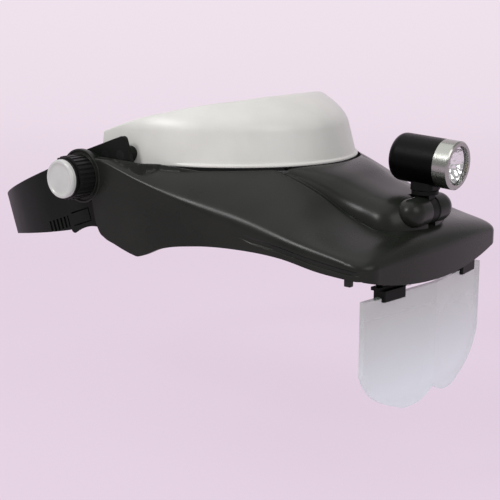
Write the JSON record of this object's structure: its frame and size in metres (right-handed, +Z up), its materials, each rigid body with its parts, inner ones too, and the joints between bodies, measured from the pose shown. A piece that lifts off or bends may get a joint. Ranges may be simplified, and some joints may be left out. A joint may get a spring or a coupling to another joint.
{
  "type": "lighted head magnifier",
  "caption": "Headband magnifier: adjustable band with a padded forehead plate, a tilting visor, a clip-in two-lobed lens plate and a small swivelling lamp.",
  "frame": {"origin": "middle of the visor's tilt axis, between the two side knobs, level with the wearer's temples", "axes": "+Z up, -Y to the front, where the brim points, +X to the wearer's left"},
  "size_m": [0.197, 0.2896, 0.1455],
  "materials": {
    "smoke_plastic": "satin moulded",
    "band_plastic": "matt moulded",
    "pearl_plastic": "soft gloss",
    "foam": "cloth-faced foam",
    "steel": "plated",
    "brass": "plain",
    "knob_black": "moulded",
    "knob_white": "gloss",
    "lens_clear": "polished clear",
    "lamp_black": "black anodised",
    "lamp_silver": "turned bright",
    "mirror_cup": "polished",
    "led": "clear dome",
    "board": "lacquered",
    "washer": "plain",
    "inner_plastic": "plain"
  },
  "bodies": {
    "headband": {"forehead_plate": "pearl_plastic", "forehead_pad": "foam", "side_arm_right": "band_plastic", "side_arm_left": "band_plastic", "arm_rivets": "steel", "pivot_bolt_right": "steel", "pivot_bolt_left": "steel", "pivot_washer_right": "washer", "pivot_washer_left": "washer"},
    "strap": {"rear_strap": "band_plastic"},
    "visor": {"visor_shell": "smoke_plastic", "lens_clip_right": "band_plastic", "lens_clip_left": "band_plastic", "clip_screws": "steel", "tilt_screw": "steel"},
    "lens": {"lens_plate": "lens_clear"},
    "lamp_arm": {"lamp_tongue": "band_plastic"},
    "lamp": {"lamp_shoe": "band_plastic", "swivel_rivet": "steel", "lamp_bezel": "lamp_silver", "lamp_window": "lens_clear", "lamp_reflector": "mirror_cup", "led_emitter": "led", "led_board": "board", "contact_spring": "brass", "button_cells": "steel", "cell_sleeve": "inner_plastic", "lamp_barrel": "lamp_black", "tail_cap": "lamp_black", "switch_body": "inner_plastic"},
    "button": {"switch_button": "knob_black"},
    "knob_right": {"knob_base_right": "knob_black", "knob_nut_right": "brass", "knob_cap_right": "knob_white"},
    "knob_left": {"knob_base_left": "knob_black", "knob_nut_left": "brass", "knob_cap_left": "knob_white"}
  },
  "joints": [
    {"name": "strap_size", "type": "slide", "parent": "headband", "child": "strap", "axis": [0, 0.9455, -0.3256], "range_m": [-0.013, 0.013]},
    {"name": "visor_tilt", "type": "hinge", "parent": "headband", "child": "visor", "pos_m": [0, 0, 0], "axis": [-1, 0, 0], "range_deg": [-10, 65]},
    {"name": "knob_turn_right", "type": "hinge", "parent": "headband", "child": "knob_right", "pos_m": [-0.09, 0, 0], "axis": [-1, 0, 0], "range_deg": [0, 360]},
    {"name": "knob_turn_left", "type": "hinge", "parent": "headband", "child": "knob_left", "pos_m": [0.09, 0, 0], "axis": [1, 0, 0], "range_deg": [0, 360]},
    {"name": "lens_pull", "type": "slide", "parent": "visor", "child": "lens", "axis": [0, 0, -1], "range_m": [0, 0.012]},
    {"name": "lamp_tilt", "type": "hinge", "parent": "visor", "child": "lamp_arm", "pos_m": [0, -0.1515, -0.012], "axis": [1, 0, 0], "range_deg": [-8, 45]},
    {"name": "lamp_swivel", "type": "hinge", "parent": "lamp_arm", "child": "lamp", "pos_m": [0, -0.1515, -0.003], "axis": [0, 0, 1], "range_deg": [-45, 45]},
    {"name": "button_press", "type": "slide", "parent": "lamp", "child": "button", "axis": [0, -0.9978, -0.0663], "range_m": [0, 0.0008], "stiffness_N_per_m": 1500}
  ]
}
